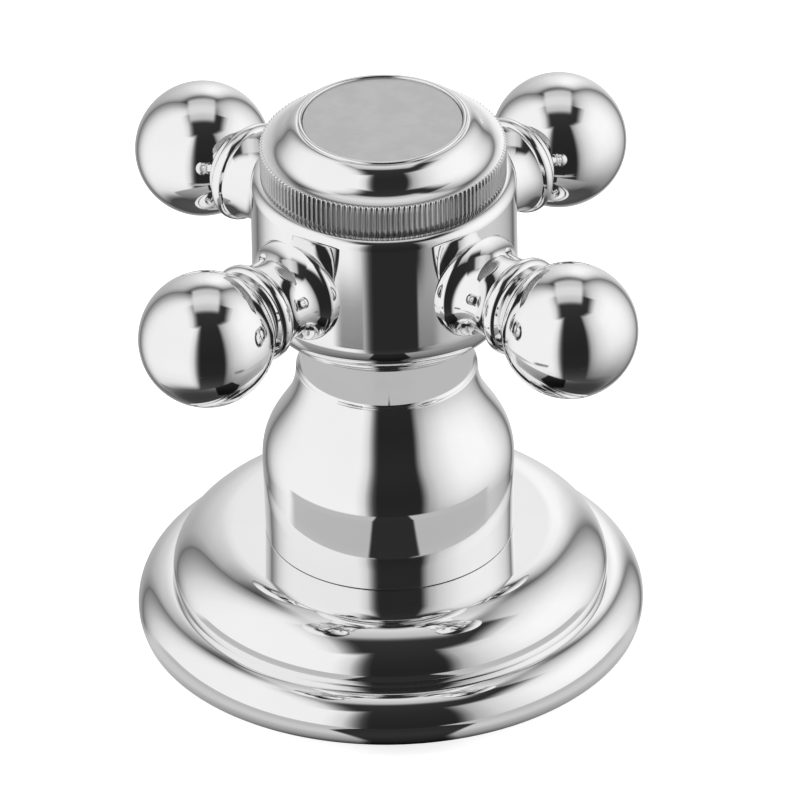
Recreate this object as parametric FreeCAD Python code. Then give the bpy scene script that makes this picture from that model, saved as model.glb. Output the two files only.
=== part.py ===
import FreeCAD, Part
import math
import os

# Deck-mounted bath tap unit with a four-armed cross handle. Lengths are in millimetres.
# Z is the spindle axis, z = 0 is the deck, and the arms lie on the two diagonals.

# Fits, all radial unless they are named as gaps
RUNNING_FIT = 0.05
PUSH_FIT = 0.03
RING_FIT = 0.02
FILM_GAP = 0.03
END_GAP = 0.05
HANDLE_GAP = 0.35

# Escutcheon: a cut half-round below, and above it a round that eases into a flat crown
ESCUTCHEON_R = 29.9
EDGE_Z = 1.0
LOWER_ROUND = 3.9
LOWER_ROUND_Z = 2.4
UPPER_ROUND = 4.4
UPPER_ROUND_R = ESCUTCHEON_R - 8.6
UPPER_ROUND_Z = 7.1
CROWN_ROUND = 7.94
CROWN_DEG = 40.0
ESCUTCHEON_WALL = 1.6
COLLAR_HOLE_R = 13.35
GASKET_R = ESCUTCHEON_R - 3.5
GASKET_THICK = 1.5

# Bell shroud, with a rebate under its foot for a thin ring
BELL_WALL = 1.45
BELL_FOOT_R = 14.66
BELL_SHOULDER_R = 14.85
BELL_SHOULDER_Z = 22.5
BELL_BEND = 5.8
FOOT_RING_THICK = 0.4
FOOT_RING_R = 13.95
SHOULDER_TOP_R = 10.68
SHOULDER_TOP_Z = 35.1
SHOULDER_RISE = 6.5
NECK_R = 10.25
NECK_Z = 42.5
NECK_WALL = 0.9
NECK_EDGE = 0.2
LEDGE_THICK = 2.6

# Headwork: the brass body that carries the spindle and the ceramic discs
THREAD_R = 10.4775
THREAD_Z = 10.0
THREAD_CHAMFER = 0.6
RELIEF_Z = 18.6
RELIEF_R = 9.9
HEX_Z = 20.0
HEX_FLATS = 19.0
HEX_HEIGHT = 7.0
HEX_CHAMFER = 0.8
HEADWORK_NECK_R = NECK_R - 2.25
HEADWORK_TOP_Z = 41.0
HEADWORK_EDGE = 0.4
DISC_ROOM_R = 7.5
NOSE_R = DISC_ROOM_R + 1.1
NOSE_Z = 1.0
WINDOW_Z = 5.6
WINDOW_HEIGHT = 4.0
WINDOW_DEG = 80.0
SEAT_RING_R = 12.6
SEAT_RING_THICK = 1.2

# The ring nut sits low in the bell's neck, under the top of the headwork
NUT_HEIGHT = 4.0
NUT_Z = HEADWORK_TOP_Z - NUT_HEIGHT - 1.0
NUT_SLOT_WIDTH = 2.4
NUT_SLOT_DEPTH = 1.4

# Ceramic discs and the rubber seat below them
SEAL_Z = 0.3
SEAL_WEB = 1.6
DISC_Z = 2.6
DISC_THICK = 2.5
SEAL_BORE_R = DISC_ROOM_R - 1.1
PORT_IN_R = 2.2
PORT_OUT_R = DISC_ROOM_R - 1.3
PORT_DEG = 76.0
CUTOUT_DEG = 84.0
LUG_WIDTH = 2.0
LUG_R = NOSE_R - 0.3
SLOT_WIDTH = 2.6
SLOT_DEPTH = 1.0

# Handle hub; the heights above its floor all follow its top
HUB_R = 15.55
HUB_Z = 41.3
HUB_TOP_Z = 61.4
HUB_FILLET = 5.65
HUB_TOP_FILLET = 1.3
HUB_FLOOR_Z = HUB_TOP_Z - 7.4
HUB_WELL_R = 8.2
CAP_THREAD_Z = HUB_TOP_Z - 4.8
CAP_THREAD_R = 10.0

# Spindle and its small parts
SPINDLE_R = 4.5
DRIVER_R = DISC_ROOM_R - 0.5
DRIVER_THICK = 2.8
SLIDE_THICK = 0.45
CORD_R = 0.8
O_RING_Z = (31.0, 34.6)
GROOVE_WIDTH = 2.0
CLIP_Z = 41.3
CLIP_GROOVE = 0.8
CLIP_THICK = 0.7
CLIP_ROOT_R = 3.7
CLIP_R = 6.2
CLIP_OPEN_DEG = 70.0
SPLINE_Z = 43.0
SPLINE_TOP_Z = HUB_FLOOR_Z - 0.4
SPLINE_TEETH = 20
SPLINE_TIP_R = 3.95
SPLINE_ROOT_R = 3.55
SPLINE_FIT = 0.04
SCREW_R = 2.0
SCREW_LENGTH = 14.0
SCREW_HEAD_R = 3.6
SCREW_HEAD_HEIGHT = 2.8
SCREW_CHAMFER = 0.4
SCREW_KEY = 3.0
SCREW_KEY_DEPTH = 1.8
WASHER_R = 7.6
WASHER_THICK = 0.8
BUSH_R = 6.0
BUSH_FLATS = 11.0

# Arms, with lengths measured outwards from the spindle axis
ARM_Z = 52.4
ARM_TURNS = (("front_left", 225.0), ("front_right", 315.0), ("back_right", 45.0), ("back_left", 135.0))
STUD_R = 3.0
STUD_END = 9.6
SOCKET_END = 13.8
ARM_ROOT_R = 6.4
ARM_WAIST = SOCKET_END + 4.4
ARM_WAIST_R = 4.95
ARM_HOLLOW = 3.4
HOLLOW_DEG = math.degrees(math.acos(1 - (ARM_ROOT_R - ARM_WAIST_R) / ARM_HOLLOW))
COLLAR_START = SOCKET_END + 7.3
COLLAR_END = COLLAR_START + 1.75
COLLAR_R = 5.5
COLLAR_CROWN_R = 6.0
BALL_R = 8.0
BALL_CENTRE = 29.7
BALL_FACE = COLLAR_END + 0.35
SPIGOT_R = 2.5
SPIGOT_END = BALL_CENTRE - 1.5

# Cap on the hub, with a reeded band that runs out at the swept top, and an index disc
REED_COUNT = 140
REED_TIP_R = 14.4
REED_ROOT_R = 14.15
REED_TOP_Z = HUB_TOP_Z + 4.05
RIM_R = 9.65
RIM_Z = HUB_TOP_Z + 7.5
RIM_WIDTH = 0.5
RIM_DROP = 0.2
SHELF_R = 10.2
SHELF_Z = RIM_Z - 0.3
SWEEP_LOW = (11.6, REED_TOP_Z + 0.25)
SWEEP_HIGH = (11.9, SHELF_Z - 0.8)
INDEX_R = 9.35
INDEX_Z = RIM_Z - 0.28
INDEX_THICK = 1.2
CAP_BORE_R = 8.2
CAP_ROOF_Z = HUB_TOP_Z + 4.4
CAP_CORD_R = 0.6
CAP_CORD_Z = HUB_TOP_Z - 1.1

AXIS = FreeCAD.Vector(0, 0, 1)
ORIGIN = FreeCAD.Vector(0, 0, 0)


def on_round(centre, radius, degrees):
    """Point on a circle in the outline plane, as radius and height."""
    angle = math.radians(degrees)
    return (centre[0] + radius * math.cos(angle), centre[1] + radius * math.sin(angle))


def turned(start, *steps):
    """Solid turned about Z: one point is a straight, two an arc by the first, three a curve."""
    edges = []
    here = start
    for step in steps + ([start],):
        path = [FreeCAD.Vector(r, 0, z) for r, z in [here] + step]
        if len(step) == 1:
            edges.append(Part.makeLine(*path))
        elif len(step) == 2:
            edges.append(Part.Arc(*path).toShape())
        else:
            curve = Part.BezierCurve()
            curve.setPoles(path)
            edges.append(curve.toShape())
        here = step[-1]
    return Part.Face(Part.Wire(edges)).revolve(ORIGIN, AXIS, 360)


def ring(inner, outer, low, high):
    """Plain ring between two radii and two heights."""
    return turned((inner, low), [(outer, low)], [(outer, high)], [(inner, high)])


def rod(radius, low, high):
    """Plain cylinder on the axis."""
    return Part.makeCylinder(radius, high - low, FreeCAD.Vector(0, 0, low))


def block(x, y, low, high):
    """Box centred on the axis, x by y in plan."""
    return Part.makeBox(x, y, high - low, FreeCAD.Vector(-x / 2, -y / 2, low))


def prism(corners, low, high):
    """Upright solid on a closed polygon."""
    points = [FreeCAD.Vector(x, y, low) for x, y in corners]
    return Part.Face(Part.makePolygon(points + points[:1])).extrude(FreeCAD.Vector(0, 0, high - low))


def toothed(root, tip, count, low, high):
    """Upright solid with straight-flanked teeth, one point on each tip and each root."""
    pitch = 2 * math.pi / count
    corners = []
    for tooth in range(count):
        corners.append(on_round((0, 0), tip, math.degrees(tooth * pitch)))
        corners.append(on_round((0, 0), root, math.degrees((tooth + 1 / 2) * pitch)))
    return prism(corners, low, high)


def hexagon(flats, low, high):
    """Upright hexagonal solid, by its width across the flats."""
    corner = flats / math.sqrt(3)
    return prism([on_round((0, 0), corner, side * 60) for side in range(6)], low, high)


def sector(inner, outer, middle, width, low, high):
    """Part of a ring, by its middle direction and its width in degrees."""
    piece = Part.makeCylinder(outer, high - low, FreeCAD.Vector(0, 0, low), AXIS, width)
    piece.rotate(ORIGIN, AXIS, middle - width / 2)
    return piece.cut(rod(inner, low, high))


def opposed(inner, outer, middle, width, low, high):
    """Two like sectors on opposite sides of the axis."""
    here = sector(inner, outer, middle, width, low, high)
    return here.fuse(sector(inner, outer, middle + 180, width, low, high))


def crown_centre():
    """Centre of the crown's round, which runs on smoothly from the upper round."""
    step = UPPER_ROUND - CROWN_ROUND
    return on_round((UPPER_ROUND_R, UPPER_ROUND_Z), step, CROWN_DEG)


def crown_z():
    """Height of the escutcheon's flat crown, which the bell stands on."""
    return crown_centre()[1] + CROWN_ROUND


def gasket_bore_r():
    """Bore of the gasket, which is clear of the escutcheon's hollow."""
    return UPPER_ROUND_R + UPPER_ROUND - ESCUTCHEON_WALL + PUSH_FIT


def make_escutcheon():
    lower = (ESCUTCHEON_R - LOWER_ROUND, LOWER_ROUND_Z)
    upper = (UPPER_ROUND_R, UPPER_ROUND_Z)
    crown = crown_centre()
    # the two rounds meet in a crease on their outer side
    apart = math.hypot(lower[0] - upper[0], lower[1] - upper[1])
    along = (apart**2 + UPPER_ROUND**2 - LOWER_ROUND**2) / (2 * apart)
    lean = math.degrees(math.atan2(lower[1] - upper[1], lower[0] - upper[0]))
    crease = on_round(upper, UPPER_ROUND, lean + math.degrees(math.acos(along / UPPER_ROUND)))
    edge_r = lower[0] + math.sqrt(LOWER_ROUND**2 - (LOWER_ROUND_Z - EDGE_Z) ** 2)
    hollow = UPPER_ROUND - ESCUTCHEON_WALL
    hollow_crown = CROWN_ROUND - ESCUTCHEON_WALL
    crown_middle = (CROWN_DEG + 90) / 2
    gasket_edge = GASKET_R + PUSH_FIT
    return turned(
        (COLLAR_HOLE_R, crown_z() - ESCUTCHEON_WALL),
        [(COLLAR_HOLE_R, crown_z())],
        [(crown[0], crown_z())],
        [on_round(crown, CROWN_ROUND, crown_middle), on_round(crown, CROWN_ROUND, CROWN_DEG)],
        [on_round(upper, UPPER_ROUND, CROWN_DEG / 2), crease],
        [on_round(lower, LOWER_ROUND, 45), (edge_r, EDGE_Z)],
        [(gasket_edge, EDGE_Z)],
        [(gasket_edge, GASKET_THICK)],
        [(UPPER_ROUND_R + hollow, GASKET_THICK)],
        [(UPPER_ROUND_R + hollow, UPPER_ROUND_Z)],
        [on_round(upper, hollow, CROWN_DEG / 2), on_round(upper, hollow, CROWN_DEG)],
        [on_round(crown, hollow_crown, crown_middle), (crown[0], crown_z() - ESCUTCHEON_WALL)],
    )


def make_bell_shroud():
    foot_z = crown_z() + END_GAP
    inner_r = BELL_SHOULDER_R - BELL_WALL
    neck_in = NECK_R - NECK_WALL
    ledge_low = NUT_Z - LEDGE_THICK
    bend_z = BELL_SHOULDER_Z + BELL_BEND
    return turned(
        (inner_r, crown_z() + FOOT_RING_THICK),
        [(FOOT_RING_R + PUSH_FIT, crown_z() + FOOT_RING_THICK)],
        [(FOOT_RING_R + PUSH_FIT, foot_z)],
        [(BELL_FOOT_R, foot_z)],
        [(BELL_SHOULDER_R, BELL_SHOULDER_Z)],
        [
            (BELL_SHOULDER_R + END_GAP, bend_z),
            (SHOULDER_TOP_R, SHOULDER_TOP_Z - SHOULDER_RISE),
            (SHOULDER_TOP_R, SHOULDER_TOP_Z),
        ],
        [(NECK_R + NECK_EDGE, SHOULDER_TOP_Z + NECK_EDGE), (NECK_R, SHOULDER_TOP_Z + 2 * NECK_EDGE)],
        [(NECK_R, NECK_Z - NECK_EDGE)],
        [(NECK_R - NECK_EDGE, NECK_Z)],
        [(neck_in, NECK_Z)],
        [(neck_in, NUT_Z)],
        [(HEADWORK_NECK_R + RUNNING_FIT, NUT_Z)],
        [(HEADWORK_NECK_R + RUNNING_FIT, ledge_low)],
        [(neck_in, ledge_low)],
        [(neck_in, bend_z), (inner_r, bend_z - 1), (inner_r, BELL_SHOULDER_Z - 1)],
    )


def make_ring_nut():
    top_z = NUT_Z + NUT_HEIGHT
    nut = ring(HEADWORK_NECK_R + PUSH_FIT, NECK_R - NECK_WALL - 3 * END_GAP, NUT_Z, top_z)
    return nut.cut(block(2 * NECK_R, NUT_SLOT_WIDTH, top_z - NUT_SLOT_DEPTH, top_z))


def make_headwork():
    bore_r = SPINDLE_R + RUNNING_FIT
    ceiling_z = driver_top() + SLIDE_THICK + END_GAP
    body = turned(
        (DISC_ROOM_R, NOSE_Z),
        [(NOSE_R, NOSE_Z)],
        [(NOSE_R, THREAD_Z)],
        [(THREAD_R - THREAD_CHAMFER, THREAD_Z)],
        [(THREAD_R, THREAD_Z + THREAD_CHAMFER)],
        [(THREAD_R, RELIEF_Z)],
        [(RELIEF_R, RELIEF_Z)],
        [(RELIEF_R, HEX_Z)],
        [(RELIEF_R, HEX_Z + HEX_HEIGHT)],
        [(HEADWORK_NECK_R, HEX_Z + HEX_HEIGHT)],
        [(HEADWORK_NECK_R, HEADWORK_TOP_Z - HEADWORK_EDGE)],
        [(HEADWORK_NECK_R - HEADWORK_EDGE, HEADWORK_TOP_Z)],
        [(bore_r, HEADWORK_TOP_Z)],
        [(bore_r, ceiling_z)],
        [(DISC_ROOM_R, ceiling_z)],
    )
    corner = HEX_FLATS / math.sqrt(3)
    hex_top = HEX_Z + HEX_HEIGHT
    chamfered = turned(
        (bore_r + 1, HEX_Z),
        [(corner - HEX_CHAMFER, HEX_Z)],
        [(corner, HEX_Z + HEX_CHAMFER / 2)],
        [(corner, hex_top - HEX_CHAMFER / 2)],
        [(corner - HEX_CHAMFER, hex_top)],
        [(bore_r + 1, hex_top)],
    )
    body = body.fuse(hexagon(HEX_FLATS, HEX_Z, hex_top).common(chamfered))
    windows = opposed(DISC_ROOM_R - 1, NOSE_R + 1, 0, WINDOW_DEG, WINDOW_Z, WINDOW_Z + WINDOW_HEIGHT)
    disc_top = DISC_Z + DISC_THICK + PUSH_FIT
    keyway = block(LUG_WIDTH + 2 * PUSH_FIT, 2 * NOSE_R + 1, NOSE_Z - 1, disc_top)
    return body.cut(windows).cut(keyway).removeSplitter()


def driver_top():
    """Height of the shoulder that the slide washer rests on."""
    return DISC_Z + 2 * DISC_THICK + FILM_GAP + DRIVER_THICK


def make_fixed_disc():
    top = DISC_Z + DISC_THICK
    lugs = block(LUG_WIDTH, 2 * LUG_R, DISC_Z, top).common(rod(LUG_R, DISC_Z, top))
    disc = rod(DISC_ROOM_R - END_GAP, DISC_Z, top).fuse(lugs)
    return disc.cut(opposed(PORT_IN_R, PORT_OUT_R, 0, PORT_DEG, DISC_Z, top)).removeSplitter()


def make_seat_seal():
    seal = ring(SEAL_BORE_R, DISC_ROOM_R - END_GAP, SEAL_Z, DISC_Z)
    web = block(2 * SEAL_BORE_R + SEAL_WEB / 4, SEAL_WEB, SEAL_Z + 1, DISC_Z)
    web.rotate(ORIGIN, AXIS, 90)
    return seal.fuse(web).removeSplitter()


def make_moving_disc():
    low = DISC_Z + DISC_THICK + FILM_GAP
    high = low + DISC_THICK
    disc = rod(DISC_ROOM_R - 6 * END_GAP, low, high)
    slot = block(2 * DISC_ROOM_R, SLOT_WIDTH, high - SLOT_DEPTH, high)
    cutouts = opposed(PORT_IN_R + 4 * END_GAP, DISC_ROOM_R, 90, CUTOUT_DEG, low, high)
    return disc.cut(cutouts).cut(slot)


def make_spindle():
    base = DISC_Z + 2 * DISC_THICK + FILM_GAP
    groove_r = SPINDLE_R + RUNNING_FIT - RING_FIT - 2 * CORD_R
    body = turned(
        (0, base),
        [(DRIVER_R, base)],
        [(DRIVER_R, driver_top())],
        [(SPINDLE_R, driver_top())],
        [(SPINDLE_R, SPLINE_Z)],
        [(0, SPLINE_Z)],
    )
    for middle in O_RING_Z:
        groove_z = middle - GROOVE_WIDTH / 2
        body = body.cut(ring(groove_r, SPINDLE_R + 1, groove_z, groove_z + GROOVE_WIDTH))
    body = body.cut(ring(CLIP_ROOT_R, SPINDLE_R + 1, CLIP_Z, CLIP_Z + CLIP_GROOVE))
    body = body.fuse(toothed(SPLINE_ROOT_R, SPLINE_TIP_R, SPLINE_TEETH, SPLINE_Z, SPLINE_TOP_Z))
    tang_low = base - SLOT_DEPTH + END_GAP
    tang = block(2 * DRIVER_R, SLOT_WIDTH - 2 * END_GAP, tang_low, base)
    body = body.fuse(tang.common(rod(DRIVER_R - 4 * END_GAP, tang_low, base)))
    hole_low = HUB_FLOOR_Z + WASHER_THICK - SCREW_LENGTH - SCREW_CHAMFER
    return body.cut(rod(SCREW_R + PUSH_FIT, hole_low, SPLINE_TOP_Z)).removeSplitter()


def make_o_ring(middle):
    centre = SPINDLE_R + RUNNING_FIT - RING_FIT - CORD_R
    return Part.makeTorus(centre, CORD_R, FreeCAD.Vector(0, 0, middle))


def make_circlip():
    low = CLIP_Z + (CLIP_GROOVE - CLIP_THICK) / 2
    clip = ring(CLIP_ROOT_R + PUSH_FIT, CLIP_R, low, low + CLIP_THICK)
    return clip.cut(sector(CLIP_ROOT_R / 2, CLIP_R + 1, 90, CLIP_OPEN_DEG, low, low + CLIP_THICK))


def make_bush():
    body = rod(BUSH_R, SPLINE_Z, HUB_FLOOR_Z)
    body = body.common(block(BUSH_FLATS, 3 * BUSH_R, SPLINE_Z, HUB_FLOOR_Z))
    root_r = SPLINE_ROOT_R + SPLINE_FIT
    tip_r = SPLINE_TIP_R + SPLINE_FIT
    return body.cut(toothed(root_r, tip_r, SPLINE_TEETH, SPLINE_Z, HUB_FLOOR_Z))


def make_screw():
    head_z = HUB_FLOOR_Z + WASHER_THICK
    top_z = head_z + SCREW_HEAD_HEIGHT
    screw = turned(
        (0, head_z - SCREW_LENGTH),
        [(SCREW_R - SCREW_CHAMFER, head_z - SCREW_LENGTH)],
        [(SCREW_R, head_z - SCREW_LENGTH + SCREW_CHAMFER)],
        [(SCREW_R, head_z)],
        [(SCREW_HEAD_R, head_z)],
        [(SCREW_HEAD_R, top_z - SCREW_CHAMFER)],
        [(SCREW_HEAD_R - SCREW_CHAMFER, top_z)],
        [(0, top_z)],
    )
    return screw.cut(hexagon(SCREW_KEY, top_z - SCREW_KEY_DEPTH, top_z))


def arm_place(shape, degrees):
    """Lay a piece turned about Z along an arm's direction, at the height of the arms."""
    shape.rotate(ORIGIN, FreeCAD.Vector(0, 1, 0), 90)
    shape.rotate(ORIGIN, AXIS, degrees)
    shape.translate(FreeCAD.Vector(0, 0, ARM_Z))
    return shape


def make_arm():
    collar_middle = (COLLAR_START + COLLAR_END) / 2
    hollow = (ARM_WAIST_R + ARM_HOLLOW, ARM_WAIST)
    reach = (COLLAR_START - ARM_WAIST) / 3
    return turned(
        (0, STUD_END),
        [(STUD_R, STUD_END)],
        [(STUD_R, SOCKET_END)],
        [(ARM_ROOT_R, SOCKET_END)],
        [on_round(hollow, ARM_HOLLOW, 180 + HOLLOW_DEG)],
        [on_round(hollow, ARM_HOLLOW, 180 + HOLLOW_DEG / 2), (ARM_WAIST_R, ARM_WAIST)],
        [(ARM_WAIST_R, ARM_WAIST + reach), (COLLAR_R - reach / 2, COLLAR_START - reach), (COLLAR_R, COLLAR_START)],
        [(COLLAR_CROWN_R, collar_middle), (COLLAR_R, COLLAR_END)],
        [(ball_face_r(), (COLLAR_END + BALL_FACE) / 2)],
        [(ball_face_r(), BALL_FACE)],
        [(SPIGOT_R, BALL_FACE)],
        [(SPIGOT_R, SPIGOT_END)],
        [(0, SPIGOT_END)],
    )


def ball_face_r():
    """Radius of the flat where the ball meets its arm."""
    return math.sqrt(BALL_R**2 - (BALL_CENTRE - BALL_FACE) ** 2)


def make_ball():
    hole_end = SPIGOT_END + 10 * PUSH_FIT
    return turned(
        (SPIGOT_R + PUSH_FIT, BALL_FACE),
        [(ball_face_r(), BALL_FACE)],
        [(BALL_R, BALL_CENTRE), (0, BALL_CENTRE + BALL_R)],
        [(0, hole_end)],
        [(SPIGOT_R + PUSH_FIT, hole_end)],
    )


def make_hub():
    fillet = (HUB_R - HUB_FILLET, HUB_Z + HUB_FILLET - END_GAP)
    mouth_r = NECK_R + HANDLE_GAP
    mouth_z = fillet[1] - math.sqrt(HUB_FILLET**2 - (mouth_r - fillet[0]) ** 2)
    ceiling_z = NECK_Z + 2 * HANDLE_GAP
    top = (HUB_R - HUB_TOP_FILLET, HUB_TOP_Z - HUB_TOP_FILLET)
    bush_r = BUSH_R + PUSH_FIT
    thread_r = CAP_THREAD_R + PUSH_FIT
    hub = turned(
        (bush_r, ceiling_z),
        [(mouth_r, ceiling_z)],
        [(mouth_r, mouth_z)],
        [on_round(fillet, HUB_FILLET, -40), (HUB_R, fillet[1])],
        [(HUB_R, top[1])],
        [on_round(top, HUB_TOP_FILLET, 45), (top[0], HUB_TOP_Z)],
        [(thread_r, HUB_TOP_Z)],
        [(thread_r, CAP_THREAD_Z)],
        [(HUB_WELL_R, CAP_THREAD_Z)],
        [(HUB_WELL_R, HUB_FLOOR_Z)],
        [(bush_r, HUB_FLOOR_Z)],
    )
    between_flats = block(BUSH_FLATS + 2 * PUSH_FIT, 3 * BUSH_R, ceiling_z, HUB_FLOOR_Z)
    hub = hub.fuse(rod(bush_r + 4 * END_GAP, ceiling_z, HUB_FLOOR_Z).cut(between_flats))
    for name, degrees in ARM_TURNS:
        hub = hub.cut(arm_place(rod(STUD_R + PUSH_FIT, STUD_END - HANDLE_GAP, SOCKET_END), degrees))
        hub = hub.cut(arm_place(rod(ARM_ROOT_R + PUSH_FIT, SOCKET_END, HUB_R + 1), degrees))
    return hub.removeSplitter()


def make_cap():
    seat_z = INDEX_Z - INDEX_THICK
    rim_low = RIM_Z - RIM_DROP
    body = turned(
        (0, CAP_ROOF_Z),
        [(CAP_BORE_R, CAP_ROOF_Z)],
        [(CAP_BORE_R, CAP_THREAD_Z + HANDLE_GAP)],
        [(CAP_THREAD_R, CAP_THREAD_Z + HANDLE_GAP)],
        [(CAP_THREAD_R, HUB_TOP_Z)],
        [(REED_TIP_R + END_GAP, HUB_TOP_Z)],
        [(REED_TIP_R + END_GAP, REED_TOP_Z)],
        [SWEEP_LOW, SWEEP_HIGH, (SHELF_R, SHELF_Z)],
        [(RIM_R + RIM_WIDTH / 2, rim_low)],
        [(RIM_R, RIM_Z), (RIM_R - RIM_WIDTH / 2, rim_low)],
        [(INDEX_R + PUSH_FIT, rim_low - END_GAP)],
        [(INDEX_R + PUSH_FIT, seat_z)],
        [(0, seat_z)],
    )
    reeds = toothed(REED_ROOT_R, REED_TIP_R, REED_COUNT, CAP_THREAD_Z, RIM_Z + 1)
    groove_r = CAP_THREAD_R - 2 * CAP_CORD_R + PUSH_FIT
    groove_half = CAP_CORD_R + 2 * END_GAP
    groove = ring(groove_r, CAP_THREAD_R + 1, CAP_CORD_Z - groove_half, CAP_CORD_Z + groove_half)
    return body.cut(groove).common(reeds)


def make_cap_o_ring():
    centre = CAP_THREAD_R - CAP_CORD_R + PUSH_FIT
    return Part.makeTorus(centre, CAP_CORD_R, FreeCAD.Vector(0, 0, CAP_CORD_Z))


def make_slide_washer():
    return ring(SPINDLE_R + PUSH_FIT, DISC_ROOM_R - 6 * END_GAP, driver_top(), driver_top() + SLIDE_THICK)


PARTS = {
    "deck_gasket": ring(gasket_bore_r(), GASKET_R, 0, GASKET_THICK),
    "escutcheon": make_escutcheon(),
    "shroud_foot_ring": ring(COLLAR_HOLE_R, FOOT_RING_R, crown_z(), crown_z() + FOOT_RING_THICK),
    "bell_shroud": make_bell_shroud(),
    "shroud_ring_nut": make_ring_nut(),
    "headwork_housing": make_headwork(),
    "headwork_seat_ring": ring(THREAD_R + PUSH_FIT, SEAT_RING_R, HEX_Z - SEAT_RING_THICK, HEX_Z),
    "fixed_ceramic_disc": make_fixed_disc(),
    "seat_seal": make_seat_seal(),
    "moving_ceramic_disc": make_moving_disc(),
    "spindle": make_spindle(),
    "spindle_slide_washer": make_slide_washer(),
    "spindle_o_ring_lower": make_o_ring(O_RING_Z[0]),
    "spindle_o_ring_upper": make_o_ring(O_RING_Z[1]),
    "spindle_circlip": make_circlip(),
    "spline_bush": make_bush(),
    "screw_washer": ring(SCREW_R + 3 * END_GAP, WASHER_R, HUB_FLOOR_Z, HUB_FLOOR_Z + WASHER_THICK),
    "handle_screw": make_screw(),
    "handle_hub": make_hub(),
    "top_cap": make_cap(),
    "cap_o_ring": make_cap_o_ring(),
    "index_disc": rod(INDEX_R, INDEX_Z - INDEX_THICK, INDEX_Z),
}
for side, degrees in ARM_TURNS:
    PARTS["arm_" + side] = arm_place(make_arm(), degrees)
    PARTS["ball_" + side] = arm_place(make_ball(), degrees)

os.makedirs("parts", exist_ok=True)
for node, shape in PARTS.items():
    shape.exportStep("parts/" + node + ".step")
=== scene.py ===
import bpy
import math
from mathutils import Matrix, Vector


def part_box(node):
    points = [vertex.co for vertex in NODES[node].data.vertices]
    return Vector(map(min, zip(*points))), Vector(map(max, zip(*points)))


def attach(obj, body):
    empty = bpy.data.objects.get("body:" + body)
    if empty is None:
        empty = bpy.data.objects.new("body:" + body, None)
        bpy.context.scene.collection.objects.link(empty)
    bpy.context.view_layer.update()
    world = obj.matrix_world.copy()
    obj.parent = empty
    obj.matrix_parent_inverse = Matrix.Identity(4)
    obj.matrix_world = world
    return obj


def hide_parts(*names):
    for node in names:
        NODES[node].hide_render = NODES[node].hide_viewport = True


bl_info = {
    "name": "Cross Handle Tap",
    "version": (1, 0, 0),
    "blender": (4, 5, 0),
    "location": "View3D > Sidebar > Tap",
    "description": "Dresses the deck-mounted cross handle tap and sets up its studio",
    "category": "Object",
}

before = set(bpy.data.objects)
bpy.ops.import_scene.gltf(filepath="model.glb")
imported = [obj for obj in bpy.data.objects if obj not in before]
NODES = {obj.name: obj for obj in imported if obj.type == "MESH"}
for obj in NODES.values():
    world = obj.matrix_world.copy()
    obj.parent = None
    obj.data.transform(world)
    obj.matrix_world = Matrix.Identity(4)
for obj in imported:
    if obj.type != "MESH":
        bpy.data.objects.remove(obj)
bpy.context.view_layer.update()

MM = 0.001
DEGREES = 180 / math.pi
ARM_TURNS = {"front_left": 225, "front_right": 315, "back_right": 45, "back_left": 135}
ARM_HEIGHT = sum(end.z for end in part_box("arm_front_left")) / 2
CHROME_TONE = 0.93


# Sizes and colours that a user would change


class TapSizes(bpy.types.PropertyGroup):
    flange_radius: bpy.props.FloatProperty(
        name="Flange radius", description="Outer radius of the escutcheon", default=29.9 * MM, unit="LENGTH"
    )
    hub_radius: bpy.props.FloatProperty(
        name="Hub radius", description="Outer radius of the handle's hub", default=15.55 * MM, unit="LENGTH"
    )
    ball_radius: bpy.props.FloatProperty(
        name="Ball radius", description="Radius of the balls on the arms", default=8.0 * MM, unit="LENGTH"
    )
    arm_height: bpy.props.FloatProperty(
        name="Arm height", description="Height of the arms above the deck", default=ARM_HEIGHT, unit="LENGTH"
    )
    reed_count: bpy.props.IntProperty(
        name="Reeds", description="Number of reeds round the band of the cap", default=140, min=24
    )
    reed_depth: bpy.props.FloatProperty(
        name="Reed depth", description="Depth of the grooves between the reeds", default=0.25 * MM, unit="LENGTH"
    )


class TapFinishes(bpy.types.PropertyGroup):
    chrome: bpy.props.FloatVectorProperty(
        name="Chrome",
        description="Colour of the polished plating",
        size=3,
        subtype="COLOR",
        default=(CHROME_TONE, CHROME_TONE, CHROME_TONE),
    )
    index: bpy.props.FloatVectorProperty(
        name="Index disc",
        description="Colour of the satin disc in the cap",
        size=3,
        subtype="COLOR",
        default=(0.7, 0.7, 0.7),
    )
    brass: bpy.props.FloatVectorProperty(
        name="Brass",
        description="Colour of the turned brass inside",
        size=3,
        subtype="COLOR",
        default=(0.69, 0.5, 0.22),
    )
    rubber: bpy.props.FloatVectorProperty(
        name="Rubber",
        description="Colour of the seals",
        size=3,
        subtype="COLOR",
        default=(0.025, 0.025, 0.026),
    )
    floor: bpy.props.FloatVectorProperty(
        name="Floor",
        description="Colour of the studio floor",
        size=3,
        subtype="COLOR",
        default=(0.93, 0.93, 0.93),
    )


# Outlines and turned meshes


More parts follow.
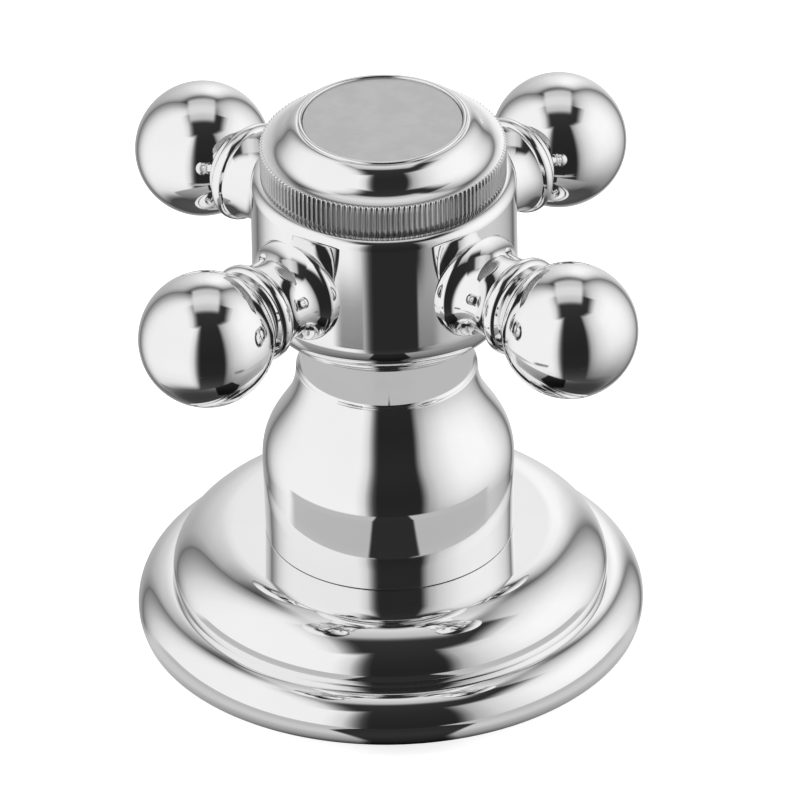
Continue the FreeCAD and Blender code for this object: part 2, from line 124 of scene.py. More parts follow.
class Outline:
    """Half section of a turned piece in millimetres, walked with the outside on its right."""

    TOUCH = 1e-4

    def __init__(self, r, z):
        self.here = (r, z)
        self.stretches = []

    def add(self, samples):
        """One smooth stretch of (point, normal) pairs."""
        self.stretches.append(samples)
        self.here = samples[-1][0]
        return self

    def line(self, r, z):
        """Straight to a point, in pieces of about two millimetres."""
        r0, z0 = self.here
        length = math.hypot(r - r0, z - z0)
        normal = ((z - z0) / length, (r0 - r) / length)
        count = max(1, min(12, round(length / 2)))
        steps = [k / count for k in range(count + 1)]
        return self.add([((r0 + (r - r0) * t, z0 + (z - z0) * t), normal) for t in steps])

    def path(self, *points):
        """Straight from point to point."""
        for r, z in points:
            self.line(r, z)
        return self

    def arc(self, centre, radius, start, stop, count=None):
        """Round stretch between two directions in degrees; a falling angle makes a hollow round."""
        count = count or max(4, round(abs(stop - start) / 4))
        side = 1 if stop > start else -1
        samples = []
        for k in range(count + 1):
            angle = math.radians(start + (stop - start) * k / count)
            c, s = math.cos(angle), math.sin(angle)
            samples.append(((centre[0] + radius * c, centre[1] + radius * s), (side * c, side * s)))
        if math.dist(self.here, samples[0][0]) > self.TOUCH:
            self.line(*samples[0][0])
        return self.add(samples)

    def curve(self, first, second, end, count=40):
        """Cubic curve from here to end, with its two handles."""
        handles = [self.here, first, second, end]
        samples = []
        for k in range(count + 1):
            t = k / count
            u = 1 - t
            weights = (u**3, 3 * u * u * t, 3 * u * t * t, t**3)
            slopes = (-u * u, u * u - 2 * u * t, 2 * u * t - t * t, t * t)
            point = tuple(sum(w * h[i] for w, h in zip(weights, handles)) for i in (0, 1))
            dr, dz = (sum(w * h[i] for w, h in zip(slopes, handles)) for i in (0, 1))
            length = math.hypot(dr, dz)
            samples.append((point, (dz / length, -dr / length)))
        return self.add(samples)

    def bend(self, corner, radius, towards):
        """Straight to a rounded corner, which turns towards the next point."""
        before = Vector(self.here) - Vector(corner)
        after = Vector(towards) - Vector(corner)
        half = before.angle(after) / 2
        reach = radius / math.tan(half)
        start = Vector(corner) + before.normalized() * reach
        end = Vector(corner) + after.normalized() * reach
        inward = (before.normalized() + after.normalized()).normalized()
        middle = Vector(corner) + inward * radius / math.sin(half)
        if (start - Vector(self.here)).length > self.TOUCH:
            self.line(*start)
        a, b = (math.degrees(math.atan2(*(p - middle).yx)) for p in (start, end))
        turn = (b - a + 180) % 360 - 180
        return self.arc(middle, radius, a, a + turn, count=5)


def turned(name, outline, place=Matrix(), turns=256, flute=None):
    """Mesh object turned about the local Z axis; flute(angle, point) moves a fluted point in or out."""
    verts, faces, normals, ring_of = [], [], [], {}
    spin = [2 * math.pi * k / turns for k in range(turns)]

    def ring(point):
        """Index of the first vertex of this point's ring, or of the one vertex on the axis."""
        key = (round(point[0], 4), round(point[1], 4))
        if key not in ring_of:
            ring_of[key] = len(verts)
            for angle in spin if key[0] > 0 else spin[:1]:
                r = point[0] + (flute(angle, point) if flute else 0)
                verts.append(place @ Vector((r * math.cos(angle), r * math.sin(angle), point[1])))
        return ring_of[key]

    turn_only = place.to_3x3()
    for stretch in outline.stretches:
        for (p, n), (q, m) in zip(stretch, stretch[1:]):
            a, b = ring(p), ring(q)
            for k in range(turns):
                j = (k + 1) % turns
                corners = []
                if round(p[0], 4) > 0:
                    corners += [(a + k, n, spin[k]), (a + j, n, spin[j])]
                else:
                    corners += [(a, n, spin[k])]
                if round(q[0], 4) > 0:
                    corners += [(b + j, m, spin[j]), (b + k, m, spin[k])]
                else:
                    corners += [(b, m, spin[k])]
                faces.append([corner[0] for corner in corners])
                for _, (nr, nz), angle in corners:
                    normals.append(turn_only @ Vector((nr * math.cos(angle), nr * math.sin(angle), nz)))
    mesh = bpy.data.meshes.new(name)
    mesh.from_pydata([v * MM for v in verts], [], faces)
    mesh.polygons.foreach_set("use_smooth", [True] * len(faces))
    if flute is None:
        mesh.normals_split_custom_set(normals)
    mesh.update()
    piece = bpy.data.objects.new(name, mesh)
    bpy.context.scene.collection.objects.link(piece)
    return piece


def dress(piece, body, node, material):
    """Put a finished piece in place of its solid."""
    piece.data.materials.clear()
    piece.data.materials.append(material)
    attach(piece, body)
    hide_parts(node)
    return piece


# Shader sheets


class Wire:
    """A socket that works in sums: each operator adds its Math node."""

    def __init__(self, sheet, socket):
        self.sheet = sheet
        self.socket = socket

    def output(self, index):
        """Another output of the same node."""
        return Wire(self.sheet, self.socket.node.outputs[index])

    def math(self, operation, *values):
        return self.sheet.node("ShaderNodeMath", {"operation": operation}, dict(enumerate(values)))

    def __add__(self, other):
        return self.math("ADD", self, other)

    def __radd__(self, other):
        return self.math("ADD", other, self)

    def __sub__(self, other):
        return self.math("SUBTRACT", self, other)

    def __rsub__(self, other):
        return self.math("SUBTRACT", other, self)

    def __mul__(self, other):
        return self.math("MULTIPLY", self, other)

    def __rmul__(self, other):
        return self.math("MULTIPLY", other, self)

    def __truediv__(self, other):
        return self.math("DIVIDE", self, other)

    def __rtruediv__(self, other):
        return self.math("DIVIDE", other, self)

    def __pow__(self, other):
        return self.math("POWER", self, other)

    def step(self, low, high):
        """0 below low and 1 above high, with a soft slope between; low may be the larger."""
        return self.sheet.node(
            "ShaderNodeMapRange",
            {"interpolation_type": "SMOOTHSTEP"},
            {"Value": self, "From Min": low, "From Max": high},
        )

    def most(self, other):
        return self.math("MAXIMUM", self, other)

    def least(self, other):
        return self.math("MINIMUM", self, other)

    def size(self):
        return self.math("ABSOLUTE", self)


class Sheet:
    """The nodes of one material or of the world."""

    def __init__(self, owner):
        owner.use_nodes = True
        self.owner = owner
        self.tree = owner.node_tree
        self.tree.nodes.clear()

    def node(self, kind, settings=None, inputs=None, output=0):
        """One node: its settings first, then the values or wires of its sockets."""
        made = self.tree.nodes.new(kind)
        for name, value in (settings or {}).items():
            if name == "stops":
                ramp = made.color_ramp
                while len(ramp.elements) < len(value):
                    ramp.elements.new(0.5)
                for element, (place, level) in zip(ramp.elements, value):
                    element.position = place
                    element.color = grey(level)
            else:
                setattr(made, name, value)
        for name, value in (inputs or {}).items():
            if isinstance(value, Wire):
                self.tree.links.new(value.socket, made.inputs[name])
            else:
                made.inputs[name].default_value = value
        return Wire(self, made.outputs[output]) if made.outputs else None

    def ramp(self, wire, low, high, points):
        """A value read off straight stretches between (place, value) points."""
        stops = [((place - low) / (high - low), value) for place, value in points]
        return self.node("ShaderNodeValToRGB", {"stops": stops}, {0: (wire - low) / (high - low)})

    def place(self, kind="Object"):
        """Where the surface is, or which way the world is seen."""
        return self.node("ShaderNodeTexCoord", output=kind)

    def axes(self, where):
        """The x, y and z of a place."""
        split = self.node("ShaderNodeSeparateXYZ", None, {0: where})
        return [split.output(k) for k in range(3)]

    def noise(self, where, scale, detail=2.0, rough=0.5):
        return self.node(
            "ShaderNodeTexNoise", None, {"Vector": where, "Scale": scale, "Detail": detail, "Roughness": rough}
        )

    def blend(self, factor, first, second):
        """Colour mixed from first to second."""
        return self.node("ShaderNodeMix", {"data_type": "RGBA"}, {0: factor, 6: first, 7: second}, output=2)

    def stretch(self, where, x, y, z):
        return self.node("ShaderNodeVectorMath", {"operation": "MULTIPLY"}, {0: where, 1: (x, y, z)})

    def bump(self, height, strength, distance):
        return self.node("ShaderNodeBump", None, {"Height": height, "Strength": strength, "Distance": distance})

    def surface(self, wire):
        """Join the finished shader to the output."""
        kind = "World" if isinstance(self.owner, bpy.types.World) else "Material"
        self.node("ShaderNodeOutput" + kind, None, {"Surface": wire})

    def paint(self, **sockets):
        """Principled shader with these sockets, joined to the output."""
        named = {name.replace("_", " ").title(): value for name, value in sockets.items()}
        self.surface(self.node("ShaderNodeBsdfPrincipled", None, named))
        return self.owner


def grey(value):
    return (value, value, value, 1)


def shade(colour, factor):
    return (*(min(1.0, part * factor) for part in colour), 1)


def sheet_of(name):
    return Sheet(bpy.data.materials.new(name))


def polished_chrome(name, colour, seed=0.0, reeded=None):
    """Bright plating: a faint cloud in the tone, smears in the gloss and hair-fine wipe marks.

    reeded gives the inner radius, the bottom and the top of a band, in millimetres, that is rougher and darker, its
    darker tone a painted shade of the grooves between the reeds.
    """
    s = sheet_of(name)
    where = s.place()
    cloud = s.noise(s.stretch(where, 1, 1, 1.3), 60 + seed, 3.0)
    smear = s.noise(s.stretch(where, 1, 1, 3), 180 + seed, 4.0, 0.6)
    wipe = s.noise(s.stretch(where, 1, 1, 14), 900, 2.0)
    tone = s.blend(cloud.step(0.3, 0.75), shade(colour, 0.985), shade(colour, 1.01))
    rough = smear.step(0.45, 0.8) * 0.02 + wipe * 0.006 + 0.035
    if reeded:
        x, y, z = (part * (1 / MM) for part in s.axes(where))
        inner, low, high = reeded
        outside = (x * x + y * y).step(inner**2 - 1, inner**2)
        band = outside * z.step(low - 0.1, low) * z.step(high + 0.1, high)
        rough = rough + band * 0.24
        # Painted shade: the band's chrome tone is darkened to stand in for shade in the grooves between the reeds
        tone = s.blend(band, tone, shade(colour, 0.58))
    return s.paint(base_color=tone, metallic=1.0, roughness=rough, normal=s.bump(wipe, 0.02, 0.00001))


def satin_index(name, colour):
    """Fine satin metal with a soft mottle."""
    s = sheet_of(name)
    where = s.place()
    grain = s.noise(where, 2600, 2.0)
    mottle = s.noise(where, 330, 3.0, 0.6)
    tone = s.blend(mottle.step(0.3, 0.7), shade(colour, 0.93), shade(colour, 1.05))
    rough = mottle * 0.12 + 0.34
    return s.paint(base_color=tone, metallic=1.0, roughness=rough, normal=s.bump(grain, 0.15, 0.00002))


def turned_metal(name, colour, gloss=0.22):
    """Machined metal with fine rings and a slight bloom."""
    s = sheet_of(name)
    where = s.place()
    rings = s.noise(s.stretch(where, 0.02, 0.02, 1), 5200, 1.0)
    bloom = s.noise(where, 140, 4.0, 0.6)
    tone = s.blend(bloom.step(0.3, 0.75), shade(colour, 0.85), shade(colour, 1.06))
    rough = bloom * 0.12 + gloss
    return s.paint(base_color=tone, metallic=1.0, roughness=rough, normal=s.bump(rings, 0.25, 0.00003))


def moulded(name, colour, rough=0.5, grain_scale=1500, grain=0.2):
    """Rubber, plastic, fibre or ceramic: a fine grain and a slow change of tone."""
    s = sheet_of(name)
    where = s.place()
    fine = s.noise(where, grain_scale, 3.0)
    slow = s.noise(where, 120, 3.0)
    tone = s.blend(slow.step(0.3, 0.7), shade(colour, 0.88), shade(colour, 1.1))
    gloss = slow * 0.15 + (rough - 0.07)
    return s.paint(base_color=tone, roughness=gloss, normal=s.bump(fine, grain, 0.00003))


# Pieces: radii and heights in millimetres


class TAP_OT_escutcheon(bpy.types.Operator):
    """Double-round escutcheon that covers the deck hole"""

    bl_idname = "tap.escutcheon"
    bl_label = "Escutcheon"

    def execute(self, context):
        edge = context.scene.tap_sizes.flange_radius / MM
        foot, under, thickness, hole = 1.0, 1.5, 1.6, 13.35
        skirt = edge - 3.47
        lower_round, upper_round, crown_round = 3.9, 4.4, 7.94
        crown_turn = 40
        lower = (edge - lower_round, 2.4)
        upper = (edge - 8.6, 7.1)
        turn = math.radians(crown_turn)
        ease = crown_round - upper_round
        crown = (upper[0] - ease * math.cos(turn), upper[1] - ease * math.sin(turn))
        top = crown[1] + crown_round

        # The crease is where the two rounds cross
        apart = math.hypot(lower[0] - upper[0], lower[1] - upper[1])
        along = (apart**2 + upper_round**2 - lower_round**2) / (2 * apart)
        lean = math.degrees(math.atan2(lower[1] - upper[1], lower[0] - upper[0]))
        upper_start = lean + math.degrees(math.acos(along / upper_round))
        crease_turn = math.radians(upper_start)
        crease = (upper[0] + upper_round * math.cos(crease_turn), upper[1] + upper_round * math.sin(crease_turn))
        lower_stop = math.degrees(math.atan2(crease[1] - lower[1], crease[0] - lower[0]))
        lower_start = math.degrees(math.asin((foot - lower[1]) / lower_round))

        o = Outline(skirt, foot)
        o.line(lower[0] + lower_round * math.cos(math.radians(lower_start)), foot)
        o.arc(lower, lower_round, lower_start, lower_stop, 60)
        o.arc(upper, upper_round, upper_start, crown_turn, 40)
        o.arc(crown, crown_round, crown_turn, 90, 60)
        o.bend((hole, top), 0.15, (hole, top - thickness))
        o.path((hole, top - thickness), (crown[0], top - thickness))
        o.arc(crown, crown_round - thickness, 90, crown_turn, 20)
        o.arc(upper, upper_round - thickness, crown_turn, 0, 20)
        o.path((upper[0] + upper_round - thickness, under), (skirt, under), (skirt, foot))
        piece = turned("escutcheon_shell", o, turns=320)
        finish = polished_chrome("escutcheon plating", context.scene.tap_finishes.chrome)
        dress(piece, "valve", "escutcheon", finish)
        return {"FINISHED"}


class TAP_OT_bell(bpy.types.Operator):
    """Bell shroud with its foot, its shoulder and its neck"""

    bl_idname = "tap.bell"
    bl_label = "Bell shroud"

    def execute(self, context):
        inside, ring_seat, foot = 13.4, 13.17, 12.82
        wall, shoulder = 14.85, 22.5
        neck, neck_top = 10.25, 42.5
        bore, web_hole, web_low, web_top = 9.35, 8.05, 33.4, 36.0
        o = Outline(inside, ring_seat)
        o.path((13.98, ring_seat), (13.98, foot))
        o.bend((14.66, foot), 0.1, (wall, shoulder))
        o.line(wall, shoulder)
        o.curve((14.9, 28.3), (10.85, 28.6), (10.68, 35.1), 64)
        o.curve((10.67, 35.35), (10.3, 35.3), (neck, 35.75), 10)
        o.bend((neck, neck_top), 0.2, (bore, neck_top))
        o.bend((bore, neck_top), 0.1, (bore, web_top))
        o.path((bore, web_top), (web_hole, web_top), (web_hole, web_low), (bore, web_low))
        o.curve((bore, 28.2), (13.45, 27.3), (inside, 21.6), 40)
        o.line(inside, ring_seat)
        piece = turned("bell_shroud_skin", o, turns=256)
        finish = polished_chrome("bell plating", context.scene.tap_finishes.chrome, seed=7)
        dress(piece, "valve", "bell_shroud", finish)
        return {"FINISHED"}


class TAP_OT_hub(bpy.types.Operator):
    """Hub of the handle, hollow for the spline bush and the cap"""

    bl_idname = "tap.hub"
    bl_label = "Handle hub"

    def execute(self, context):
        edge = context.scene.tap_sizes.hub_radius / MM
        bottom_round, top_round, top = 5.65, 1.3, 61.4
        recess, recess_floor, lowest = 10.6, 43.2, 41.39
        bush_bore, bush_top = 6.03, 54.0
        screw_bore, cap_floor, cap_bore = 8.2, 56.6, 10.03
        o = Outline(recess, recess_floor)
        o.line(recess, lowest)
        start = math.degrees(math.asin((recess - edge + bottom_round) / bottom_round)) - 90
        o.arc((edge - bottom_round, 46.9), bottom_round, start, 0, 36)
        o.line(edge, 60.1)
        o.arc((edge - top_round, 60.1), top_round, 0, 90, 16)
        o.path((cap_bore, top), (cap_bore, cap_floor), (screw_bore, cap_floor), (screw_bore, bush_top))
        o.path((bush_bore, bush_top), (bush_bore, recess_floor), (recess, recess_floor))
        piece = turned("handle_hub_shell", o, turns=256)
        finish = polished_chrome("hub plating", context.scene.tap_finishes.chrome, seed=13)
        dress(piece, "handle", "handle_hub", finish)
        return {"FINISHED"}


class TAP_OT_arms(bpy.types.Operator):
    """Four turned arms and the ball on each"""

    bl_idname = "tap.arms"
    bl_label = "Arms and balls"

    SOCKET_END = 13.8
    BALL_SEAT = 23.2
    BALL_REACH = 6.5

    def arm(self, face):
        """Stud, boss, hollow waist, collar and the spigot that holds the ball."""
        stud, boss, spigot, waist, waist_at = 3.0, 6.4, 2.5, 4.95, 18.2
        o = Outline(0, 9.6)
        o.bend((stud, 9.6), 0.3, (stud, self.SOCKET_END))
        o.path((stud, self.SOCKET_END), (boss, self.SOCKET_END))
        o.bend((boss, 15.381), 0.95, (6.075, 15.673))
        o.arc((8.35, waist_at), 3.4, 228, 180, 40)
        o.curve((waist, 19.17), (5.02, 20.13), (5.5, 21.1), 24)
        o.arc((4.984, 21.975), 1.0156, -59.5, 59.5, 32)
        o.path((face, 23.02), (face, self.BALL_SEAT), (spigot, self.BALL_SEAT), (spigot, 28.2), (0, 28.2))
        return o

    def ball(self, face, radius):
        """Ball with a flat face and a bore for the spigot."""
        bore, bore_end = 2.53, 28.5
        o = Outline(bore, self.BALL_SEAT)
        o.line(face, self.BALL_SEAT)
        start = math.degrees(math.atan2(-self.BALL_REACH, face))
        o.arc((0, self.BALL_SEAT + self.BALL_REACH), radius, start, 90, 72)
        o.path((0, bore_end), (bore, bore_end), (bore, self.BALL_SEAT))
        return o

    def execute(self, context):
        sizes = context.scene.tap_sizes
        finishes = context.scene.tap_finishes
        radius = sizes.ball_radius / MM
        face = math.sqrt(radius**2 - self.BALL_REACH**2)
        arm_chrome = polished_chrome("arm plating", finishes.chrome, seed=19)
        ball_chrome = polished_chrome("ball plating", finishes.chrome, seed=29)
        for name, degrees in ARM_TURNS.items():
            place = (
                Matrix.Translation((0, 0, sizes.arm_height / MM))
                @ Matrix.Rotation(math.radians(degrees), 4, "Z")
                @ Matrix.Rotation(math.radians(90), 4, "Y")
            )
            arm = turned("arm_" + name + "_turning", self.arm(face), place, turns=128)
            dress(arm, "handle", "arm_" + name, arm_chrome)
            knob = turned("ball_" + name + "_turning", self.ball(face, radius), place, turns=160)
            dress(knob, "handle", "ball_" + name, ball_chrome)
        return {"FINISHED"}


class TAP_OT_cap(bpy.types.Operator):
    """Cap with a reeded band, a swept top and a raised rim"""

    bl_idname = "tap.cap"
    bl_label = "Reeded cap"

    def execute(self, context):
        sizes = context.scene.tap_sizes
        count, depth = sizes.reed_count, sizes.reed_depth / MM
        band, band_low, band_top = 14.4, 61.4, 65.45
        room, room_top, spigot, spigot_low = 8.2, 65.8, 10.0, 57.0
        groove, groove_low, groove_top = 8.83, 59.6, 61.0
        seat, seat_floor = 9.38, 67.42
        o = Outline(0, room_top)
        o.path((room, room_top), (room, spigot_low), (spigot, spigot_low), (spigot, groove_low))
        o.path((groove, groove_low), (groove, groove_top), (spigot, groove_top), (spigot, band_low))
        o.path((band, band_low), (band, 62.4), (band, 63.4), (band, 64.4), (band, band_top))
        o.curve((11.6, 65.7), (11.9, 67.8), (10.2, 68.6), 48)
        o.line(9.9, 68.7)
        o.arc((9.65, 68.66), 0.24, 0, 180, 12)
        o.path((seat, 68.5), (seat, seat_floor), (0, seat_floor))

        def flute(angle, point):
            """Only the band's own points go in, between the reeds."""
            if not band_low - 0.1 < point[1] < band_top + 0.05 or point[0] < band - 0.01:
                return 0.0
            return -depth * (0.5 - 0.5 * math.cos(count * angle))

        piece = turned("top_cap_shell", o, turns=count * 8, flute=flute)
        reeded = (14.0, band_low, 65.3)
        finish = polished_chrome("cap plating", context.scene.tap_finishes.chrome, seed=37, reeded=reeded)
        dress(piece, "handle", "top_cap", finish)
        return {"FINISHED"}


class TAP_OT_index(bpy.types.Operator):
    """Satin index disc let into the cap"""

    bl_idname = "tap.index"
    bl_label = "Index disc"

    def execute(self, context):
        edge, bottom, top = 9.35, 67.42, 68.62
        o = Outline(0, bottom)
        o.line(edge, bottom)
        o.bend((edge, top), 0.12, (0, top))
        o.line(0, top)
        piece = turned("index_disc_plate", o, turns=192)
        finish = satin_index("satin index", context.scene.tap_finishes.index)
        dress(piece, "handle", "index_disc", finish)
        return {"FINISHED"}


class TAP_OT_inside(bpy.types.Operator):
    """Finishes for the headwork, the seals and the other pieces inside"""

    bl_idname = "tap.inside"
    bl_label = "Inside pieces"

    def execute(self, context):
        finishes = context.scene.tap_finishes
        brass = turned_metal("turned brass", finishes.brass)
        steel = turned_metal("bright steel", (0.6, 0.6, 0.61), 0.25)
        spring = turned_metal("spring steel", (0.3, 0.3, 0.31), 0.3)
        rubber = moulded("black rubber", finishes.rubber, 0.55)
        gasket = moulded("grey gasket", (0.1, 0.1, 0.1), 0.7)
        white = moulded("white ceramic", (0.8, 0.79, 0.76), 0.25, 2200, 0.08)
        ceramic = moulded("grey ceramic", (0.34, 0.34, 0.34), 0.25, 2200, 0.08)
        plastic = moulded("slippery plastic", (0.75, 0.74, 0.68), 0.4)
        fibre = moulded("red fibre", (0.24, 0.05, 0.03), 0.6, 900, 0.4)
        wanted = {
            "shroud_ring_nut": brass,
            "headwork_housing": brass,
            "spindle": brass,
            "spline_bush": brass,
            "screw_washer": steel,
            "handle_screw": steel,
            "spindle_circlip": spring,
            "deck_gasket": gasket,
            "shroud_foot_ring": rubber,
            "seat_seal": rubber,
            "spindle_o_ring_lower": rubber,
            "spindle_o_ring_upper": rubber,
            "cap_o_ring": rubber,
            "fixed_ceramic_disc": white,
            "moving_ceramic_disc": ceramic,
            "spindle_slide_washer": plastic,
            "headwork_seat_ring": fibre,
        }
        for node, material in wanted.items():
            data = NODES[node].data
            data.materials.clear()
            data.materials.append(material)
        return {"FINISHED"}


# Studio


def disc(name, radius, height):
    """Flat round sheet, in millimetres."""
    return turned(name, Outline(radius, height).line(0, height), turns=128)


def light_of(level):
    """Light that chrome throws back at a screen level from 0 to 1."""
    return ((level + 0.055) / 1.055) ** 2.4 / CHROME_TONE


def only_seen_by(piece, *seen):
    """Hide a studio sheet from every other kind of ray."""
    for kind in ("camera", "diffuse", "glossy", "transmission", "volume_scatter", "shadow"):
        setattr(piece, "visible_" + kind, kind in seen)


def studio_world():
    """Two large side boxes, a narrow back box, a top card and the dark space between them."""
    world = bpy.data.worlds.new("studio")
    bpy.context.scene.world = world
    s = Sheet(world)
    x, y, z = s.axes(s.place("Generated"))
    across = x.math("ARCTAN2", x, 0 - y) * DEGREES
    up = z.math("ARCSINE", z) * DEGREES

    # Each box: its level by degrees round from the front, and by degrees up
    left = s.ramp(across, -180, 180, [
        (-152, 0), (-143, 0.52), (-135, 0.7), (-127, 0.86), (-119, 0.94), (-111, 0.985), (-100, 1), (-31, 1),
        (-27, 0.96), (-22, 0.88), (-18, 0.6), (-14, 0.28), (-8, 0.05), (-3, 0)])
    left_up = s.ramp(up, -90, 90, [
        (-66, 0.1), (-63, 0.35), (-60, 0.53), (-57, 0.72), (-54, 0.85), (-50, 0.935), (-42, 0.98), (-30, 1),
        (55, 1), (61, 0.985), (65, 0.955), (68, 0.88), (71, 0.74), (74, 0.62), (79, 0.5)])
    right = s.ramp(across, -180, 180, [
        (20, 0), (27, 0.18), (31, 0.5), (35, 0.7), (44, 0.84), (52, 0.9), (60, 0.945), (68, 0.98), (84, 1),
        (104, 1), (116, 0.97), (124, 0.93), (132, 0.88), (140, 0.78), (147, 0.58), (151, 0.4), (156, 0)])
    right_up = s.ramp(up, -90, 90, [
        (-68, 0.1), (-64, 0.3), (-60, 0.41), (-55, 0.55), (-50, 0.61), (-40, 0.74), (-30, 0.84), (-20, 0.92),
        (-10, 0.965), (0, 0.985), (10, 1), (30, 1), (40, 0.975), (50, 0.91), (55, 0.86), (60, 0.77), (65, 0.61),
        (69, 0.44), (75, 0.4)])
    back = s.ramp(across, -180, 180, [
        (-180, 0.94), (-175, 0.92), (-167, 0.85), (-159, 0.8), (-151, 0.73), (-145, 0.58), (-141, 0),
        (144, 0), (149, 0.5), (153, 0.75), (158, 0.9), (165, 0.99), (172, 1), (180, 0.95)])
    back_up = s.ramp(up, -90, 90, [
        (-70, 0.2), (-55, 0.6), (-40, 0.75), (-20, 0.85), (0, 0.9), (15, 0.98), (30, 1), (38, 0.95), (44, 0.8),
        (48, 0.55), (51, 0.44), (60, 0.4)])
    dark = s.ramp(up, -90, 90, [
        (-90, 0.35), (-80, 0.31), (-68, 0.285), (-60, 0.27), (-50, 0.225), (-40, 0.18), (-30, 0.15), (0, 0.14),
        (40, 0.16), (70, 0.19), (90, 0.2)])

    # High up in front the dark gap keeps one width, however close to the zenith
    free = y.step(-0.02, 0.1).most(z.step(0.86, 0.7))
    left_edge = s.ramp(0 - x, 0, 1, [
        (0.05, 0), (0.14, 0.05), (0.24, 0.28), (0.31, 0.6), (0.375, 0.88), (0.45, 0.96), (0.52, 1)])
    right_edge = s.ramp(x, 0, 1, [(0.34, 0), (0.45, 0.18), (0.52, 0.55), (0.57, 0.8), (0.65, 1)])
    left = left.least(left_edge.most(free))
    right = right.least(right_edge.most(free))
    level = dark.most(left * left_up * 0.94).most(right * right_up * 0.97).most(back * back_up * 0.98)

    # Top card, flat over the tap
    flat_x = (x / z.most(0.05)).size()
    flat_y = y / z.most(0.05)
    card = flat_x.step(0.42, 0.29) * flat_y.step(-0.3, -0.1) * flat_y.step(0.86, 0.58) * z.step(0.3, 0.5)
    tone = s.ramp(flat_y, -0.4, 1, [
        (-0.3, 0.7), (-0.1, 0.74), (0, 0.785), (0.12, 0.85), (0.3, 0.85), (0.5, 0.77), (0.8, 0.74)])
    level = level * (1 - card) + tone * card

    studio = s.node("ShaderNodeBackground", None, {"Color": light_of(level), "Strength": 1.0})
    plain = s.node("ShaderNodeBackground", None, {"Color": grey(1), "Strength": 1.0})
    sight = s.node("ShaderNodeLightPath", output="Is Camera Ray")
    s.surface(s.node("ShaderNodeMixShader", None, {0: sight, 1: studio, 2: plain}))


def painted_floor_reflection():
    """Painted reflection of the floor: a glowing sheet that only the polished faces see, darker from straight
    above, with painted shade in a ring round the tap and a painted dark gap in front.
    """
    piece = disc("painted_floor_reflection", 112, -0.3)
    s = sheet_of("painted floor reflection")
    x, y = (part * (1 / MM) for part in s.axes(s.place())[:2])
    radius = (x * x + y * y) ** 0.5
    sideways = x / (0 - y).most(1)
    front = y.step(1, -6)
    # Painted shade in the floor reflection: darker in a ring from 74 to 110 mm round the tap, darkest near 86 mm
    tone = s.ramp(radius, 0, 120, [
        (0, 0.8), (36, 0.78), (41, 0.725), (74, 0.72), (80, 0.52), (86, 0.47), (91, 0.52), (103, 0.62), (110, 0.7)])
    slant = s.node("ShaderNodeLayerWeight", None, {"Blend": 0.5}, output="Facing")
    shine = s.ramp(slant, 0, 1, [(0, 0.3), (0.06, 0.34), (0.1, 0.46), (0.134, 0.62), (0.21, 0.77), (0.45, 1)])
    # Painted shade: a dark stripe in front, cut into the floor reflection
    width = s.ramp(y, -80, 0, [(-68, 0), (-64, 0.03), (-61, 0.13), (-36, 0.13), (-31, 0.055), (0, 0.055)]) * 100
    gap = ((x - 1.6).size() - width).step(1, -1) * y.step(-70, -66)

    # The near part shows to all, the ring and the far part only at the slant of upright walls
    near = front * radius.step(62, 58)
    wall = slant.step(0.39, 0.44) * slant.step(0.5, 0.46)
    ring = radius.step(57, 61) * radius.step(77, 74)
    clear = sideways.step(-0.36, -0.31) * sideways.step(0.5, 0.44) * radius.step(74, 78)
    far = front * radius.step(74, 76) * radius.step(110, 98) * sideways.size().step(1, 0.7) * (1 - clear)
    seen = near.most((ring + far) * wall)

    # The glow is the painted floor reflection; only glossy rays see this sheet
    light = light_of(tone * shine * (1 - gap * 0.76))
    glow = s.node("ShaderNodeEmission", None, {"Color": light, "Strength": 1.0})
    nothing = s.node("ShaderNodeBsdfTransparent", None, {"Color": grey(1)})
    s.surface(s.node("ShaderNodeMixShader", None, {0: seen, 1: nothing, 2: glow}))
    piece.data.materials.append(s.owner)
    only_seen_by(piece, "glossy")


def studio_floor(colour):
    """Plain pale floor, lit from the studio and lifted to near white."""
    piece = disc("studio_floor", 3000, -0.6)
    s = sheet_of("pale floor")
    grain = s.noise(s.place(), 35, 3.0)
    tone = s.blend(grain, shade(colour, 0.99), shade(colour, 1.01))
    piece.data.materials.append(
        s.paint(base_color=tone, roughness=0.9, emission_color=grey(1), emission_strength=0.75)
    )
    only_seen_by(piece, "camera")


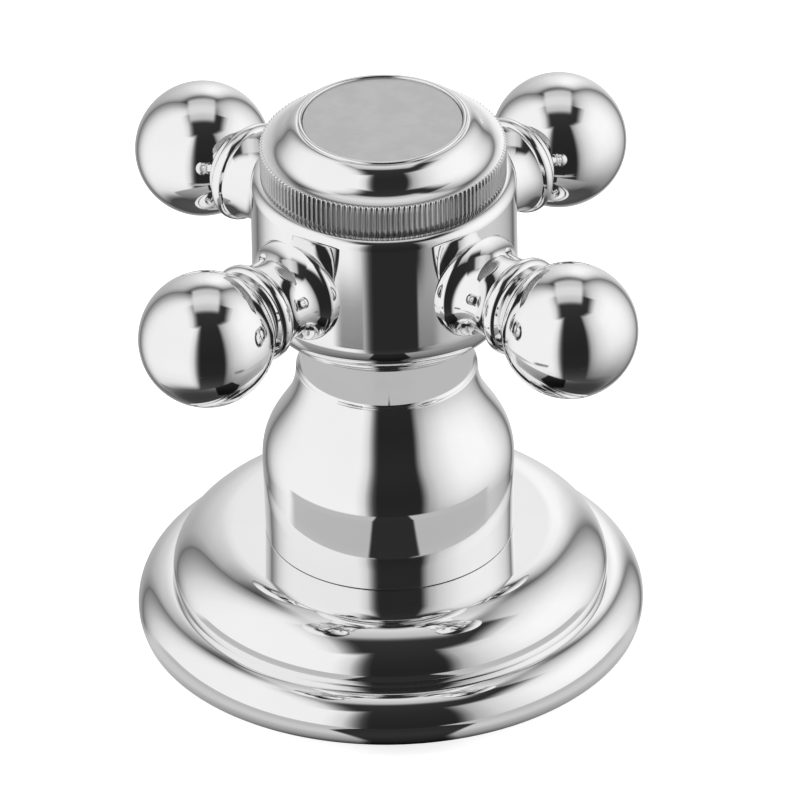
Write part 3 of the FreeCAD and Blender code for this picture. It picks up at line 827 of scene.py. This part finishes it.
def studio_camera():
    """Long lens from the front, a little over thirty degrees up, as in the picture."""
    distance, raised, swung, rolled = 1.956, 33.385, -0.649, -0.991
    data = bpy.data.cameras.new("studio camera")
    data.sensor_width = 36
    data.lens = 742.1
    data.clip_start, data.clip_end = 0.05, 20
    camera = bpy.data.objects.new("studio camera", data)
    bpy.context.scene.collection.objects.link(camera)
    swing = Matrix.Rotation(math.radians(swung), 3, "Z")
    lift = math.radians(raised)
    place = swing @ (Vector((0, -math.cos(lift), math.sin(lift))) * distance)
    aim = swing @ Vector((1.485, 0, 29.927)) * MM
    look = (aim - place).to_track_quat("-Z", "Y").to_matrix()
    roll = Matrix.Rotation(math.radians(rolled), 3, "Z")
    camera.matrix_world = Matrix.Translation(place) @ (look @ roll).to_4x4()
    bpy.context.scene.camera = camera


class TAP_OT_stage(bpy.types.Operator):
    """Studio: the world's boxes and cards, the pale floor, the painted floor reflection and the camera"""

    bl_idname = "tap.stage"
    bl_label = "Studio"

    def execute(self, context):
        studio_world()
        painted_floor_reflection()
        studio_floor(context.scene.tap_finishes.floor)
        studio_camera()
        context.scene.view_settings.view_transform = "Standard"
        return {"FINISHED"}


class TAP_PT_panel(bpy.types.Panel):
    """The tap's pieces, sizes and finishes"""

    bl_idname = "TAP_PT_panel"
    bl_label = "Cross handle tap"
    bl_space_type = "VIEW_3D"
    bl_region_type = "UI"
    bl_category = "Tap"

    def draw(self, context):
        for group in (context.scene.tap_sizes, context.scene.tap_finishes):
            box = self.layout.box()
            for name in group.__annotations__:
                box.prop(group, name)
        for operator in OPERATORS:
            self.layout.operator(operator.bl_idname)


OPERATORS = (
    TAP_OT_stage,
    TAP_OT_escutcheon,
    TAP_OT_bell,
    TAP_OT_hub,
    TAP_OT_arms,
    TAP_OT_cap,
    TAP_OT_index,
    TAP_OT_inside,
)
CLASSES = (TapSizes, TapFinishes, *OPERATORS, TAP_PT_panel)


def register():
    for each in CLASSES:
        bpy.utils.register_class(each)
    bpy.types.Scene.tap_sizes = bpy.props.PointerProperty(type=TapSizes)
    bpy.types.Scene.tap_finishes = bpy.props.PointerProperty(type=TapFinishes)


def unregister():
    del bpy.types.Scene.tap_finishes
    del bpy.types.Scene.tap_sizes
    for each in reversed(CLASSES):
        bpy.utils.unregister_class(each)


def main():
    register()
    for operator in OPERATORS:
        getattr(bpy.ops.tap, operator.bl_idname.split(".")[1])()


if __name__ == "__main__":
    main()
